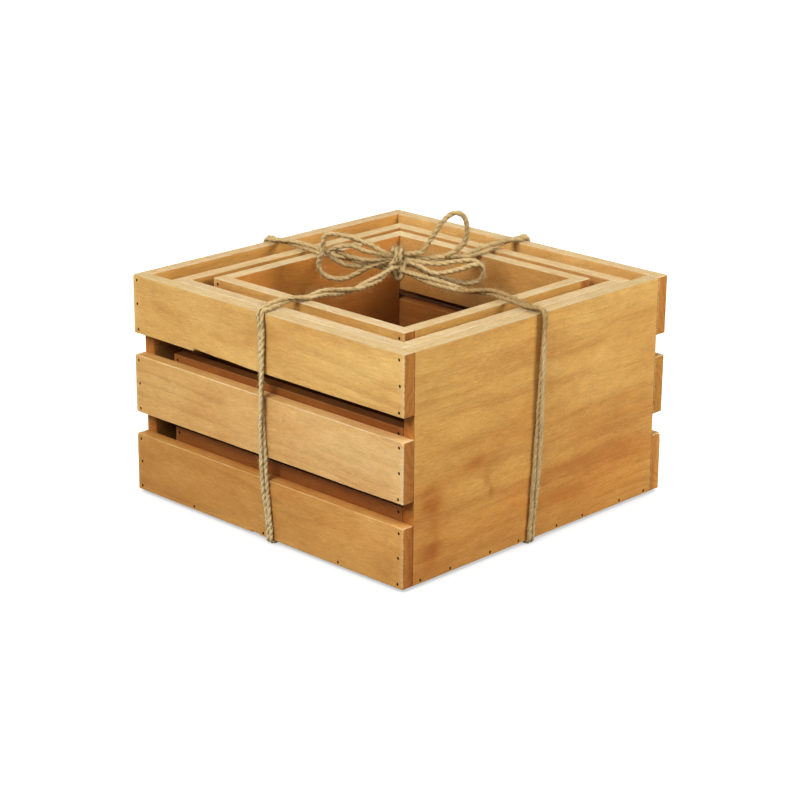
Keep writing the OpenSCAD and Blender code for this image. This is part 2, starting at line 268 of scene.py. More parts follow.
def board(node, kind, seed, tint, slot, chips=(), extra=((), (), ())):
    lo, hi = box_mm(node)
    L, W, T = AXES[kind]
    rng = np.random.default_rng(1000 + seed)
    r0 = 1.0
    step = [3.6, 3.6, 3.6]
    step[L] = 3.2
    step[T] = 2.2
    T3 = [ticks(lo[i], hi[i], r0, step[i], extra[i]) for i in range(3)]
    p, quads = box_grid(T3)
    mid, half = (lo + hi) / 2, (hi - lo) / 2

    # sanded edges: rounder in some stretches, crisp in others, with small dents
    c = p + 7.0 * seed
    worn = noise(c, 44, seed) * 0.6 + noise(c, 10, seed + 5) * 0.25
    dents = smooth(0.72, 0.98, noise(c, 5.5, seed + 9)) * 1.2
    r = np.clip(0.72 + 0.3 * worn + dents * (rng.random() * 0.5 + 0.5), 0.35, 1.9)[:, None]
    q = mid + np.clip(p - mid, -(half - r), half - r)
    d = p - q
    dist = np.linalg.norm(d, axis=1, keepdims=True)
    many = (np.abs(d) > 1e-6).sum(1) > 1
    out = p.copy()
    out[many] = (q + r * d / np.maximum(dist, 1e-9))[many]

    # the sawn faces are never dead flat
    inward = (mid - out) / half
    near = np.abs(inward) > 0.98
    sag = 0.09 + 0.09 * noise(c, (70, 24, 24) if L == 0 else (24, 70, 24), seed + 13)
    ripple = 0.035 * noise(c, (26, 3.2, 3.2) if L == 0 else (3.2, 26, 3.2), seed + 15)
    for ax in range(3):
        if ax == L:
            continue
        out[:, ax] += np.where(near[:, ax], np.sign(inward[:, ax]) * np.maximum(sag + ripple, 0), 0)
    # and the cut ends are a touch out of square
    skew = 0.12 * noise(c, (400, 18, 18) if L == 0 else (18, 400, 18), seed + 17) + 0.1
    out[:, L] += np.where(near[:, L], np.sign(inward[:, L]) * np.maximum(skew, 0), 0)

    for k, chip in enumerate(chips):
        if chip[0] == "edge":
            out = edge_chip(out, *chip[1:], seed=seed + 31 * k)
        else:
            out = knock(out, *chip[1:], 0.14, seed + 31 * k)

    ob = mesh_object(node.replace("_", "-") + "-wood", out, quads)
    crate = node.split("_")[0]
    holes = []
    for ax, inw, head in BRADS[crate]:
        inside = all(lo[i] - 1.2 < head[i] < hi[i] + 1.2 for i in range(3))
        face = lo[ax] if inw > 0 else hi[ax]
        if inside and abs(head[ax] - face) < 1.5:
            holes.append((ax, inw, head))
    drill(ob, holes, 1.02, 0.06)

    me = ob.data
    n = len(me.vertices)
    co = np.zeros(n * 3, np.float32)
    me.vertices.foreach_get("co", co)
    co = co.reshape(-1, 3).astype(float) / MM
    gap = np.minimum(co - lo, hi - co)
    order = np.sort(np.maximum(gap if kind != "end" else gap[:, [0, 2]], 0), axis=1)
    edge = order[:, 1]
    tip = gap[:, L] if kind == "slat" else np.full(n, 99.0)
    deep = np.zeros(n)
    for ax, inw, head in holes:
        b, c2 = (ax + 1) % 3, (ax + 2) % 3
        rad = np.hypot(co[:, b] - head[b], co[:, c2] - head[c2])
        deep = np.maximum(deep, ((rad < 1.35) & ((co[:, ax] - head[ax]) * inw > -0.3)).astype(float))
    endg = (gap[:, L] <= np.minimum(gap[:, W], gap[:, T]) + 0.12).astype(float)
    top = (gap[:, 2] < 0.7) & (co[:, 2] > mid[2]) & (gap[:, 2] <= np.minimum(gap[:, 0], gap[:, 1]) + 0.5)
    rim = (top & (hi[2] > RIM - 1.5)).astype(float)
    side = rng.choice([-1, 1])
    pith = np.array([rng.uniform(-40, 40), side * rng.uniform(18, 60)])
    if kind == "end":
        pith = np.array([rng.uniform(-50, 50), side * rng.uniform(20, 70)])
    # painted shade on the inside faces: redder and darker towards the crate floor
    c0 = CENTRE[crate]
    shade = np.tile(np.asarray(tint, float), (n, 1))
    depth = np.clip((RIM - co[:, 2]) / 165.0, 0, 1)[:, None]
    depth = depth ** 0.75
    inner_shade = (1 - depth) * np.array([1.0, 0.97, 0.94]) + depth * np.array([0.66, 0.52, 0.4])
    # on the floor boards this painted shade goes on the top face
    if kind == "floor":
        amount = smooth(0.3, 0.9, (co[:, 2] - lo[2]) / (hi[2] - lo[2]))
    else:
        if kind == "end":
            inner_shade = inner_shade * np.array({"large": (1.08, 1.05, 1.0), "medium": (0.95, 0.85, 0.7), "small": (0.92, 0.75, 0.57)}[crate])
        elif crate == "large":
            inner_shade = inner_shade * np.array([1.15, 1.2, 1.28])
        # painted shade: a darker band low down on these back slats
        if node in ("medium_back_slat_top", "medium_back_slat_middle", "large_back_slat_middle"):
            deep_shade = smooth(38, 58, RIM - co[:, 2]) * (gap[:, L] > 2.5)
            inner_shade = inner_shade * (1 - deep_shade[:, None] * np.array([0.68, 0.78, 0.84]))
        # painted shade: the small crate's inside darkens further towards its floor
        if crate == "small":
            inner_shade = inner_shade * (1.08 - smooth(14, 72, RIM - co[:, 2])[:, None] * np.array([0.4, 0.47, 0.52]))
        toward = 1.0 if c0[T] > mid[T] else -1.0
        face = (co[:, T] - mid[T]) * toward / half[T]
        amount = smooth(-0.6, 0.95, face)
    amount = (amount * (1 - 0.9 * rim))[:, None]
    shade = shade * (1 - amount + amount * inner_shade)
    # painted shade: the medium and small crates' outer faces darken with depth below the rim, standing in for the shade
    # in the narrow gaps between the nested crates
    if crate != "large" and kind != "floor":
        gap_shade = ((1 - amount[:, 0]) * (1 - 0.9 * rim) * smooth(0, 0.3, depth[:, 0]))[:, None]
        gap_shade_colour = np.array([0.5, 0.32, 0.18] if crate == "medium" else [0.64, 0.45, 0.27])
        shade = shade * (1 - gap_shade + gap_shade * gap_shade_colour)
    if crate != "large":
        shade = np.where(rim[:, None] > 0.5, np.maximum(shade, 1.0) * np.array([0.9, 0.93, 1.0]), shade)
    else:
        shade = np.where(rim[:, None] > 0.5, shade * np.array([0.72, 0.72, 0.8] if kind == "end" else [0.83, 0.85, 0.9]), shade)
    shade = np.where(rim[:, None] > 0.5, shade * np.asarray(RIMS.get(node, (1, 1, 1))), shade)
    for q, rad, gain in PATCHES.get(node, ()):
        w = np.exp(-(((co - np.asarray(q)) / np.asarray(rad)) ** 2).sum(1))
        w = w * (1 + 0.5 * noise(co, (22, 30, 7) if kind == "end" else (30, 22, 7), seed + 71))
        shade = shade * (1 + np.clip(w, 0, 1)[:, None] * (np.asarray(gain) - 1))
    fall = (co[:, 2:3] - lo[2]) / (hi[2] - lo[2])
    a, b = FALL.get(node, ((1, 1, 1), (1, 1, 1)))
    drift = np.asarray(a) * (1 - fall) + np.asarray(b) * fall
    along = (co[:, L:L + 1] - lo[L]) / (hi[L] - lo[L])
    a, b = ALONG.get(node, ((1, 1, 1), (1, 1, 1)))
    drift = drift * (np.asarray(a) * (1 - along) + np.asarray(b) * along)
    shade = shade * np.where(endg[:, None] > 0.5, np.asarray(END_GRAIN_GAINS.get(node, (1.06, 1.1, 1.06))), drift)
    wc = np.stack([
        co[:, L] - mid[L] + 400.0 * (seed % 17) + 91.0 * seed,
        co[:, W] - mid[W] + pith[0],
        co[:, T] - mid[T] + pith[1],
    ], 1)
    for key, values in {"edge": edge, "endg": endg, "rim": rim, "hole": deep, "tip": tip}.items():
        a = me.attributes.new(key, "FLOAT", "POINT")
        a.data.foreach_set("value", values.astype(np.float32))
    for key, values in {"wc": wc, "tint": shade}.items():
        a = me.attributes.new(key, "FLOAT_VECTOR", "POINT")
        a.data.foreach_set("vector", values.astype(np.float32).ravel())
    me.shade_smooth()
    me.set_sharp_from_angle(angle=math.radians(50))
    ob.data.materials.clear()
    ob.data.materials.append(MATS[slot])
    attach(ob, crate + "_crate")
    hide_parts(node)
    return ob


# ------------------------------------------------------------------ node graphs
class Graph:
    def __init__(self, name):
        self.mat = bpy.data.materials.new(name)
        self.mat.use_nodes = True
        self.t = self.mat.node_tree
        self.t.nodes.clear()

    def put(self, kind, inputs=None, **props):
        n = self.t.nodes.new(kind)
        for k, v in props.items():
            setattr(n, k, v)
        for k, v in (inputs or {}).items():
            s = n.inputs[k]
            if isinstance(v, bpy.types.NodeSocket):
                self.t.links.new(v, s)
            else:
                s.default_value = v
        return n

    def attr(self, name, vector=False):
        n = self.put("ShaderNodeAttribute", attribute_name=name)
        return n.outputs["Vector" if vector else "Fac"]

    def math(self, op, a, b=None, c=None, clamp=False):
        ins = {0: a}
        if b is not None:
            ins[1] = b
        if c is not None:
            ins[2] = c
        return self.put("ShaderNodeMath", ins, operation=op, use_clamp=clamp).outputs[0]

    def vmath(self, op, a, b=None):
        ins = {0: a}
        if b is not None:
            ins[1] = b
        return self.put("ShaderNodeVectorMath", ins, operation=op).outputs[0]

    def noise(self, vec, scale, detail=3.0, rough=0.55, distort=0.0, colour=False):
        v = self.vmath("MULTIPLY", vec, scale)
        n = self.put("ShaderNodeTexNoise", {"Vector": v, "Scale": 1.0, "Detail": detail, "Roughness": rough, "Distortion": distort})
        return n.outputs["Color" if colour else "Fac"]

    def ramp(self, x, a, b, c=0.0, d=1.0, kind="SMOOTHSTEP"):
        return self.put("ShaderNodeMapRange", {"Value": x, "From Min": a, "From Max": b, "To Min": c, "To Max": d}, interpolation_type=kind).outputs[0]

    def mix(self, fac, a, b, blend="MIX"):
        n = self.put("ShaderNodeMix", data_type="RGBA", blend_type=blend)
        for i, v in ((0, fac), (6, a), (7, b)):
            if isinstance(v, bpy.types.NodeSocket):
                self.t.links.new(v, n.inputs[i])
            else:
                n.inputs[i].default_value = v if i == 0 else (*v, 1.0)
        return n.outputs[2]

    def shade(self, colour, rough, height=None, strength=0.5, distance=0.0002, spec=0.4, **extra):
        p = self.put("ShaderNodeBsdfPrincipled", {"Base Color": colour, "Roughness": rough, "Specular IOR Level": spec, **extra})
        if height is not None:
            b = self.put("ShaderNodeBump", {"Height": height, "Strength": strength, "Distance": distance})
            self.t.links.new(b.outputs[0], p.inputs["Normal"])
        o = self.put("ShaderNodeOutputMaterial")
        self.t.links.new(p.outputs[0], o.inputs[0])
        return self.mat


def lin(r, g, b):
    return tuple((c / 255 / 12.92) if c / 255 <= 0.04045 else ((c / 255 + 0.055) / 1.055) ** 2.4 for c in (r, g, b))


def wood(name, light, dark, streak, streaks=0.35, rings=0.06, cream=lin(213, 193, 152)):
    g = Graph(name)
    wc = g.attr("wc", True)
    edge, endg, rim, hole = (g.attr(k) for k in ("edge", "endg", "rim", "hole"))
    tint = g.attr("tint", True)
    # slow wander of the grain along the board
    wander = g.noise(wc, (0.0035, 0.011, 0.011), 2.0, 0.45, colour=True)
    wander = g.vmath("SUBTRACT", wander, (0.5, 0.5, 0.5))
    wander = g.vmath("MULTIPLY", wander, (0.0, 26.0, 20.0))
    pos = g.vmath("ADD", wc, wander)
    sep = g.put("ShaderNodeSeparateXYZ", {0: pos})
    r = g.math("SQRT", g.math("ADD", g.math("POWER", sep.outputs[1], 2.0), g.math("POWER", sep.outputs[2], 2.0)))
    jit = g.noise(pos, (0.006, 0.1, 0.1), 2.0)
    ph = g.math("ADD", g.math("DIVIDE", r, 6.4), g.math("MULTIPLY", jit, 1.7))
    fr = g.math("FRACT", ph)
    late = g.math("MULTIPLY", g.ramp(fr, 0.3, 0.9), g.ramp(fr, 0.93, 1.0, 1.0, 0.0))
    fibre = g.ramp(g.noise(pos, (0.11, 1.0, 1.0), 6.0, 0.72), 0.33, 0.67, kind="LINEAR")
    fine = g.noise(pos, (0.5, 2.3, 2.3), 4.0, 0.7)
    fleck = g.ramp(g.noise(pos, (0.09, 1.7, 1.7), 2.0, 0.5), 0.64, 0.72)
    blotch = g.ramp(g.noise(wc, (0.009, 0.024, 0.024), 3.0, 0.5), 0.34, 0.66)
    cloud = g.noise(wc, (0.045, 0.06, 0.06), 5.0, 0.65)
    band = g.ramp(g.noise(pos, (0.0035, 0.045, 0.045), 5.0, 0.6), 0.5, 0.7)
    mott = g.ramp(g.noise(wc, (0.028, 0.06, 0.06), 4.0, 0.6), 0.36, 0.68)
    col = g.mix(g.math("ADD", g.math("MULTIPLY", blotch, 0.62), g.math("MULTIPLY", mott, 0.38)), light, dark)
    col = g.mix(g.math("MULTIPLY", band, streaks), col, streak)
    seen = g.ramp(g.noise(wc, (0.006, 0.02, 0.02), 2.0), 0.4, 0.62)
    shade = g.math("SUBTRACT", 1.0, g.math("MULTIPLY", g.math("MULTIPLY", late, seen), rings))
    shade = g.math("MULTIPLY", shade, g.ramp(fibre, 0.0, 1.0, 0.88, 1.09, "LINEAR"))
    shade = g.math("MULTIPLY", shade, g.ramp(fine, 0.3, 0.7, 0.9, 1.1, "LINEAR"))
    dash = g.ramp(g.noise(pos, (0.13, 1.35, 1.35), 1.5, 0.5), 0.66, 0.74)
    dash = g.math("MULTIPLY", dash, g.ramp(g.noise(wc, (0.02, 0.03, 0.03), 2.0), 0.42, 0.6))
    shade = g.math("MULTIPLY", shade, g.ramp(dash, 0.0, 1.0, 1.0, 0.8, "LINEAR"))
    shade = g.math("MULTIPLY", shade, g.ramp(cloud, 0.3, 0.7, 0.94, 1.05, "LINEAR"))
    shade = g.math("MULTIPLY", shade, g.ramp(fleck, 0.0, 1.0, 1.0, 0.86, "LINEAR"))
    warm = g.ramp(g.noise(wc, (0.013, 0.034, 0.034), 4.0, 0.55), 0.36, 0.66)
    col = g.mix(1.0, col, g.mix(warm, (1.03, 1.04, 1.04), (1.0, 0.94, 0.88)), "MULTIPLY")
    grey = g.put("ShaderNodeCombineXYZ", {0: shade, 1: g.math("POWER", shade, 1.25), 2: g.math("POWER", shade, 1.6)})
    col = g.mix(1.0, col, grey.outputs[0], "MULTIPLY")
    # end grain: short, dark and red, with a stipple of pores
    pore = g.noise(pos, (0.2, 2.6, 2.6), 3.0, 0.6)
    cut = g.mix(g.ramp(pore, 0.3, 0.7), lin(152, 93, 38), lin(192, 130, 60))
    cut = g.mix(g.math("MULTIPLY", late, 0.3), cut, lin(126, 74, 34))
    col = g.mix(g.math("MULTIPLY", endg, 0.9), col, cut)
    # the sanded rim: paler, open fibre
    pale = g.mix(g.ramp(g.noise(pos, (0.03, 1.1, 1.1), 4.0, 0.65), 0.42, 0.66), cream, lin(203, 168, 112))
    pale = g.mix(1.0, pale, grey.outputs[0], "MULTIPLY")
    col = g.mix(g.math("MULTIPLY", rim, 0.8), col, pale)
    # worn arrises
    rag = g.noise(wc, (0.06, 0.5, 0.5), 4.0, 0.6)
    wear = g.ramp(g.math("SUBTRACT", edge, g.ramp(rag, 0.35, 0.7, -0.3, 0.5, "LINEAR")), 0.2, 0.8, 1.0, 0.0)
    col = g.mix(g.math("MULTIPLY", wear, 0.7), col, cream)
    tip = g.ramp(g.math("SUBTRACT", g.attr("tip"), g.ramp(rag, 0.35, 0.7, -1.0, 2.2, "LINEAR")), 0.8, 3.6, 0.34, 0.0)
    col = g.mix(g.math("MULTIPLY", tip, g.math("SUBTRACT", 1.0, endg)), col, cream)
    col = g.mix(1.0, col, tint, "MULTIPLY")
    col = g.mix(g.math("MULTIPLY", hole, 0.93), col, lin(26, 14, 8))
    rough = g.math("ADD", g.ramp(fibre, 0.0, 1.0, 0.46, 0.6, "LINEAR"), g.math("MULTIPLY", endg, 0.25))
    h = g.math("ADD", g.math("MULTIPLY", fibre, 0.6), g.math("MULTIPLY", fine, 0.5))
    h = g.math("SUBTRACT", h, g.math("MULTIPLY", fleck, 0.5))
    h = g.math("ADD", h, g.math("MULTIPLY", g.math("MULTIPLY", pore, endg), 1.5))
    return g.shade(col, rough, h, 0.5, 0.00022, 0.3)


def steel(name):
    g = Graph(name)
    tc = g.put("ShaderNodeTexCoord").outputs["Object"]
    n = g.noise(tc, (900.0, 900.0, 900.0), 4.0, 0.6)
    col = g.mix(g.ramp(n, 0.35, 0.65), lin(30, 20, 14), lin(58, 40, 28))
    rough = g.ramp(n, 0.3, 0.7, 0.42, 0.75, "LINEAR")
    return g.shade(col, rough, n, 0.4, 0.0001, 0.5, Metallic=0.75)


def twine(name):
    g = Graph(name)
    tc = g.attr("tc", True)
    tr = g.attr("tr")
    strand = g.noise(tc, (0.16, 2.6, 2.6), 4.0, 0.65)
    hairy = g.noise(tc, (0.5, 6.5, 6.5), 3.0, 0.65)
    patch = g.noise(tc, (0.05, 0.4, 0.4), 2.0, 0.5)
    v = g.math("ADD", g.math("MULTIPLY", strand, 0.6), g.math("MULTIPLY", hairy, 0.4))
    v = g.math("ADD", v, g.math("MULTIPLY", g.math("SUBTRACT", patch, 0.5), 0.35))
    v = g.math("ADD", v, g.math("MULTIPLY", g.math("SUBTRACT", tr, 0.5), 0.22))
    col = g.mix(g.ramp(v, 0.34, 0.52), lin(168, 141, 97), lin(197, 174, 129))
    col = g.mix(g.ramp(v, 0.52, 0.68), col, lin(208, 189, 147))
    h = g.math("ADD", g.math("MULTIPLY", strand, 1.0), g.math("MULTIPLY", hairy, 0.6))
    return g.shade(col, 0.92, h, 0.8, 0.0003, 0.08)


MATS = {
    "large_slat_wood": wood("large_slat_wood", lin(210, 176, 114), lin(199, 160, 98), lin(176, 128, 72), 0.24, 0.11),
    "medium_slat_wood": wood("medium_slat_wood", lin(204, 164, 106), lin(186, 142, 84), lin(164, 112, 60), 0.3, 0.07),
    "small_slat_wood": wood("small_slat_wood", lin(206, 168, 108), lin(190, 148, 88), lin(168, 118, 64), 0.3, 0.07),
    "end_panel_wood": wood("end_panel_wood", lin(212, 173, 104), lin(203, 161, 93), lin(168, 110, 56), 0.36, 0.08),
    "floor_wood": wood("floor_wood", lin(186, 138, 82), lin(160, 110, 62), lin(132, 84, 46), 0.4, 0.1),
    "brad_steel": steel("brad_steel"),
    "jute_twine": twine("jute_twine"),
}

RIM = box_mm("large_front_slat_top")[1][2]
BASE = box_mm("large_front_slat_bottom")[0][2]
BRADS = {c: brad_list(c + "_brads") for c in ("large", "medium", "small")}

CENTRE = {c: (box_mm(c + "_left_end")[0] + box_mm(c + "_right_end")[1]) / 2 for c in ("large", "medium", "small")}
# colour drift on single boards: lower and upper (or left and right) multipliers, partly the boards' own colour and
# partly painted light and shade where the light falls off across a face, and soft patches
FALL = {
    "large_right_end": ((0.96, 0.80, 0.65), (1.12, 1.15, 1.17)),
    "large_left_end": ((0.92, 0.86, 0.78), (1.04, 1.04, 1.04)),
}
ALONG = {
    "large_front_slat_bottom": ((0.80, 0.69, 0.57), (0.93, 0.85, 0.78)),
    "large_front_slat_middle": ((0.96, 0.95, 0.91), (1.04, 1.08, 1.26)),
    "large_front_slat_top": ((0.98, 0.98, 0.96), (1.02, 1.03, 1.06)),
    "small_back_slat_top": ((1, 1, 1), (0.82, 0.77, 0.68)),
    "large_right_end": ((1.0, 0.99, 0.97), (1.03, 1.03, 1.06)),
}
# gains on the end grain; the large back slats' ends are painted lighter, a painted highlight where they catch the light
END_GRAIN_GAINS = {
    "large_back_slat_top": (1.25, 1.35, 1.3),
    "large_back_slat_middle": (1.35, 1.55, 1.55),
    "large_back_slat_bottom": (1.45, 1.7, 1.75),
    "large_front_slat_bottom": (1.15, 1.2, 1.25),
}
RIMS = {
    "large_left_end": (1.2, 1.2, 1.15),
    "large_back_slat_top": (1.11, 1.11, 1.11),
    "large_right_end": (1.03, 1.05, 1.0),
    "medium_back_slat_top": (1.07, 1.03, 0.95),
    "medium_left_end": (1.0, 0.96, 0.9),
    "small_back_slat_top": (1.17, 1.19, 1.2),
    "small_right_end": (0.92, 0.93, 0.92),
}
RX = box_mm("large_right_end")[1][0]
PATCHES = {
    "large_right_end": [
        ((RX, -122, 44), (60, 20, 32), (0.94, 0.87, 0.78)),
        ((RX, -122.5, 71.8), (60, 15, 3.4), (0.78, 0.6, 0.45)),
        ((RX, -121, 61.5), (60, 11, 5.5), (0.77, 0.6, 0.44)),
        ((RX, -117, 42), (60, 4.5, 20), (0.93, 0.82, 0.7)),
        ((RX, -122, 23), (60, 10, 9), (0.84, 0.7, 0.6)),
        ((RX, -75, 82), (60, 12, 6), (0.82, 0.66, 0.5)),
        ((RX, -96, 79), (60, 22, 7), (0.93, 0.85, 0.76)),
        ((RX, -60, 68), (60, 3, 7.5), (0.86, 0.74, 0.6)),
        ((RX, -55, 55), (60, 2.6, 4), (0.76, 0.6, 0.46)),
        ((RX, -72, 100), (60, 62, 3.6), (0.94, 0.87, 0.8)),
        ((RX, 72, 93), (60, 74, 4), (0.91, 0.82, 0.72)),
        ((RX, 105, 80), (60, 50, 3.6), (0.92, 0.83, 0.74)),
        ((RX, 60, 54), (60, 66, 4.4), (0.93, 0.83, 0.73)),
        ((RX, 96, 34), (60, 70, 20), (1.06, 0.98, 0.86)),
        ((RX, 40, 30), (60, 36, 4), (0.92, 0.82, 0.72)),
        ((RX, -20, 40), (60, 30, 16), (1.03, 0.95, 0.86)),
        ((RX, 84, 128), (60, 44, 14), (1.03, 1.05, 1.08)),
    ],
    "large_front_slat_top": [
        ((-105, 0, 160), (26, 400, 9), (0.95, 0.9, 0.84)),
        ((-20, 0, 178), (40, 400, 5), (0.95, 0.92, 0.88)),
    ],
    "large_front_slat_bottom": [
        ((90, 0, 30), (40, 400, 12), (1.06, 1.08, 1.12)),
        ((135, 0, 14), (14, 400, 14), (0.86, 0.8, 0.74)),
    ],
}
# ------------------------------------------------------------------ the three crates
TINTS = {
    "large_front_slat_top": (1.02, 1.0, 0.94),
    "large_front_slat_middle": (1.02, 0.98, 1.0),
    "large_front_slat_bottom": (1.0, 0.93, 0.84),
    "large_right_end": (0.99, 0.97, 0.92),
    "large_left_end": (0.98, 0.96, 0.94),
    "small_back_slat_middle": (0.96, 0.78, 0.58),
    "small_left_end": (0.97, 0.93, 0.9),
}
flo, fhi = box_mm("large_front_slat_top")
mlo, mhi = box_mm("large_front_slat_middle")
blo, bhi = box_mm("large_front_slat_bottom")
klo, khi = box_mm("large_back_slat_bottom")
INF = float("inf")
CHIPS = {
    # a long splinter gone from the lower edge of the front top slat
    "large_front_slat_top": [
        ("edge", -79.0, -8.0, flo[1], flo[2], -1, -1, 4.2, 2.5,
         [(0, 0), (0.012, 0.85), (0.1, 1.0), (0.3, 0.62), (0.55, 0.5), (0.8, 0.28), (1, 0)]),
        ("corner", (flo[0], flo[1], fhi[2]), (-1, -1, 1), np.array([2.2, 2.0, 2.4])),
    ],
    "large_front_slat_middle": [
        ("corner", (mhi[0], mlo[1], mhi[2]), (1, -1, 1), np.array([4.2, 5.0, 2.2])),
        ("corner", (mlo[0], mlo[1], mlo[2]), (-1, -1, -1), np.array([1.8, 2.4, 1.8])),
    ],
    "large_front_slat_bottom": [
        ("edge", -15.0, -1.0, blo[1], blo[2], -1, -1, 2.6, 1.7, [(0, 0), (0.15, 0.9), (0.6, 0.7), (1, 0)]),
        ("corner", (blo[0], blo[1], bhi[2]), (-1, -1, 1), np.array([2.8, 2.0, 2.0])),
    ],
    "large_back_slat_bottom": [
        ("corner", (khi[0], khi[1], khi[2]), (1, 1, 1), np.array([2.4, 2.4, 3.0])),
    ],
}
EXTRA = {
    "large_front_slat_top": (tuple(np.arange(-80.5, -70, 0.7)), (flo[1] + 2.8, flo[1] + 3.6, flo[1] + 4.6), (flo[2] + 2.7, flo[2] + 3.2)),
    "large_front_slat_bottom": (tuple(np.arange(-16, 0, 0.8)), (blo[1] + 2.6,), (blo[2] + 2.6,)),
    "large_front_slat_middle": ((mhi[0] - 2.8, mhi[0] - 3.6, mhi[0] - 4.6), (mlo[1] + 2.8, mlo[1] + 3.8, mlo[1] + 5.0), (mhi[2] - 2.6,)),
}
seed = 0
for crate in ("large", "medium", "small"):
    for node in frame["record"]["behaviour"]["bodies"][crate + "_crate"]:
        if "brads" in node or "twine" in node:
            continue
        seed += 1
        rng = np.random.default_rng(seed * 77)
        kind = "end" if node.endswith("_end") else ("floor" if "floor" in node else "slat")
        slot = {"end": "end_panel_wood", "floor": "floor_wood", "slat": crate + "_slat_wood"}[kind]
        v = rng.uniform(0.93, 1.04)
        tint = TINTS.get(node, (v * rng.uniform(0.98, 1.02), v * rng.uniform(0.96, 1.01), v * rng.uniform(0.9, 1.02)))
        board(node, kind, seed, tint, slot, CHIPS.get(node, ()), EXTRA.get(node, ((), (), ())))
    b = frame["nodes"][crate + "_brads"]
    b.data.materials.clear()
    b.data.materials.append(MATS["brad_steel"])


# ------------------------------------------------------------------ twine
def resample(p, step):
    d = np.concatenate([[0], np.cumsum(np.linalg.norm(np.diff(p, axis=0), axis=1))])
    n = max(4, int(round(d[-1] / step)) + 1)
    s = np.linspace(0, d[-1], n)
    return np.stack([np.interp(s, d, p[:, k]) for k in range(p.shape[1])], 1), s


def curve(points, step=0.7):
    """A smooth curve through the points, evenly stepped."""
    p = np.asarray(points, float)
    a = np.vstack([2 * p[0] - p[1], p, 2 * p[-1] - p[-2]])
    t = np.linspace(0, 1, 24, endpoint=False)[:, None]
    out = []
    for i in range(1, len(a) - 2):
        p0, p1, p2, p3 = a[i - 1:i + 3]
        out.append(0.5 * (2 * p1 + (p2 - p0) * t + (2 * p0 - 5 * p1 + 4 * p2 - p3) * t**2 + (3 * p1 - p0 - 3 * p2 + p3) * t**3))
    out.append(p[-1][None])
    return resample(np.vstack(out), step)


def frames(p, first=None):
    """Tangents and a pair of turning-free normals along p."""
    t = np.gradient(p, axis=0)
    t /= np.maximum(np.linalg.norm(t, axis=1, keepdims=True), 1e-9)
    n = np.zeros_like(p)
    v = np.array(first if first is not None else (0.31, 0.17, 0.93), float)
    for i in range(len(p)):
        v = v - t[i] * (v @ t[i])
        v /= max(np.linalg.norm(v), 1e-9)
        n[i] = v
    return t, n, np.cross(t, n)


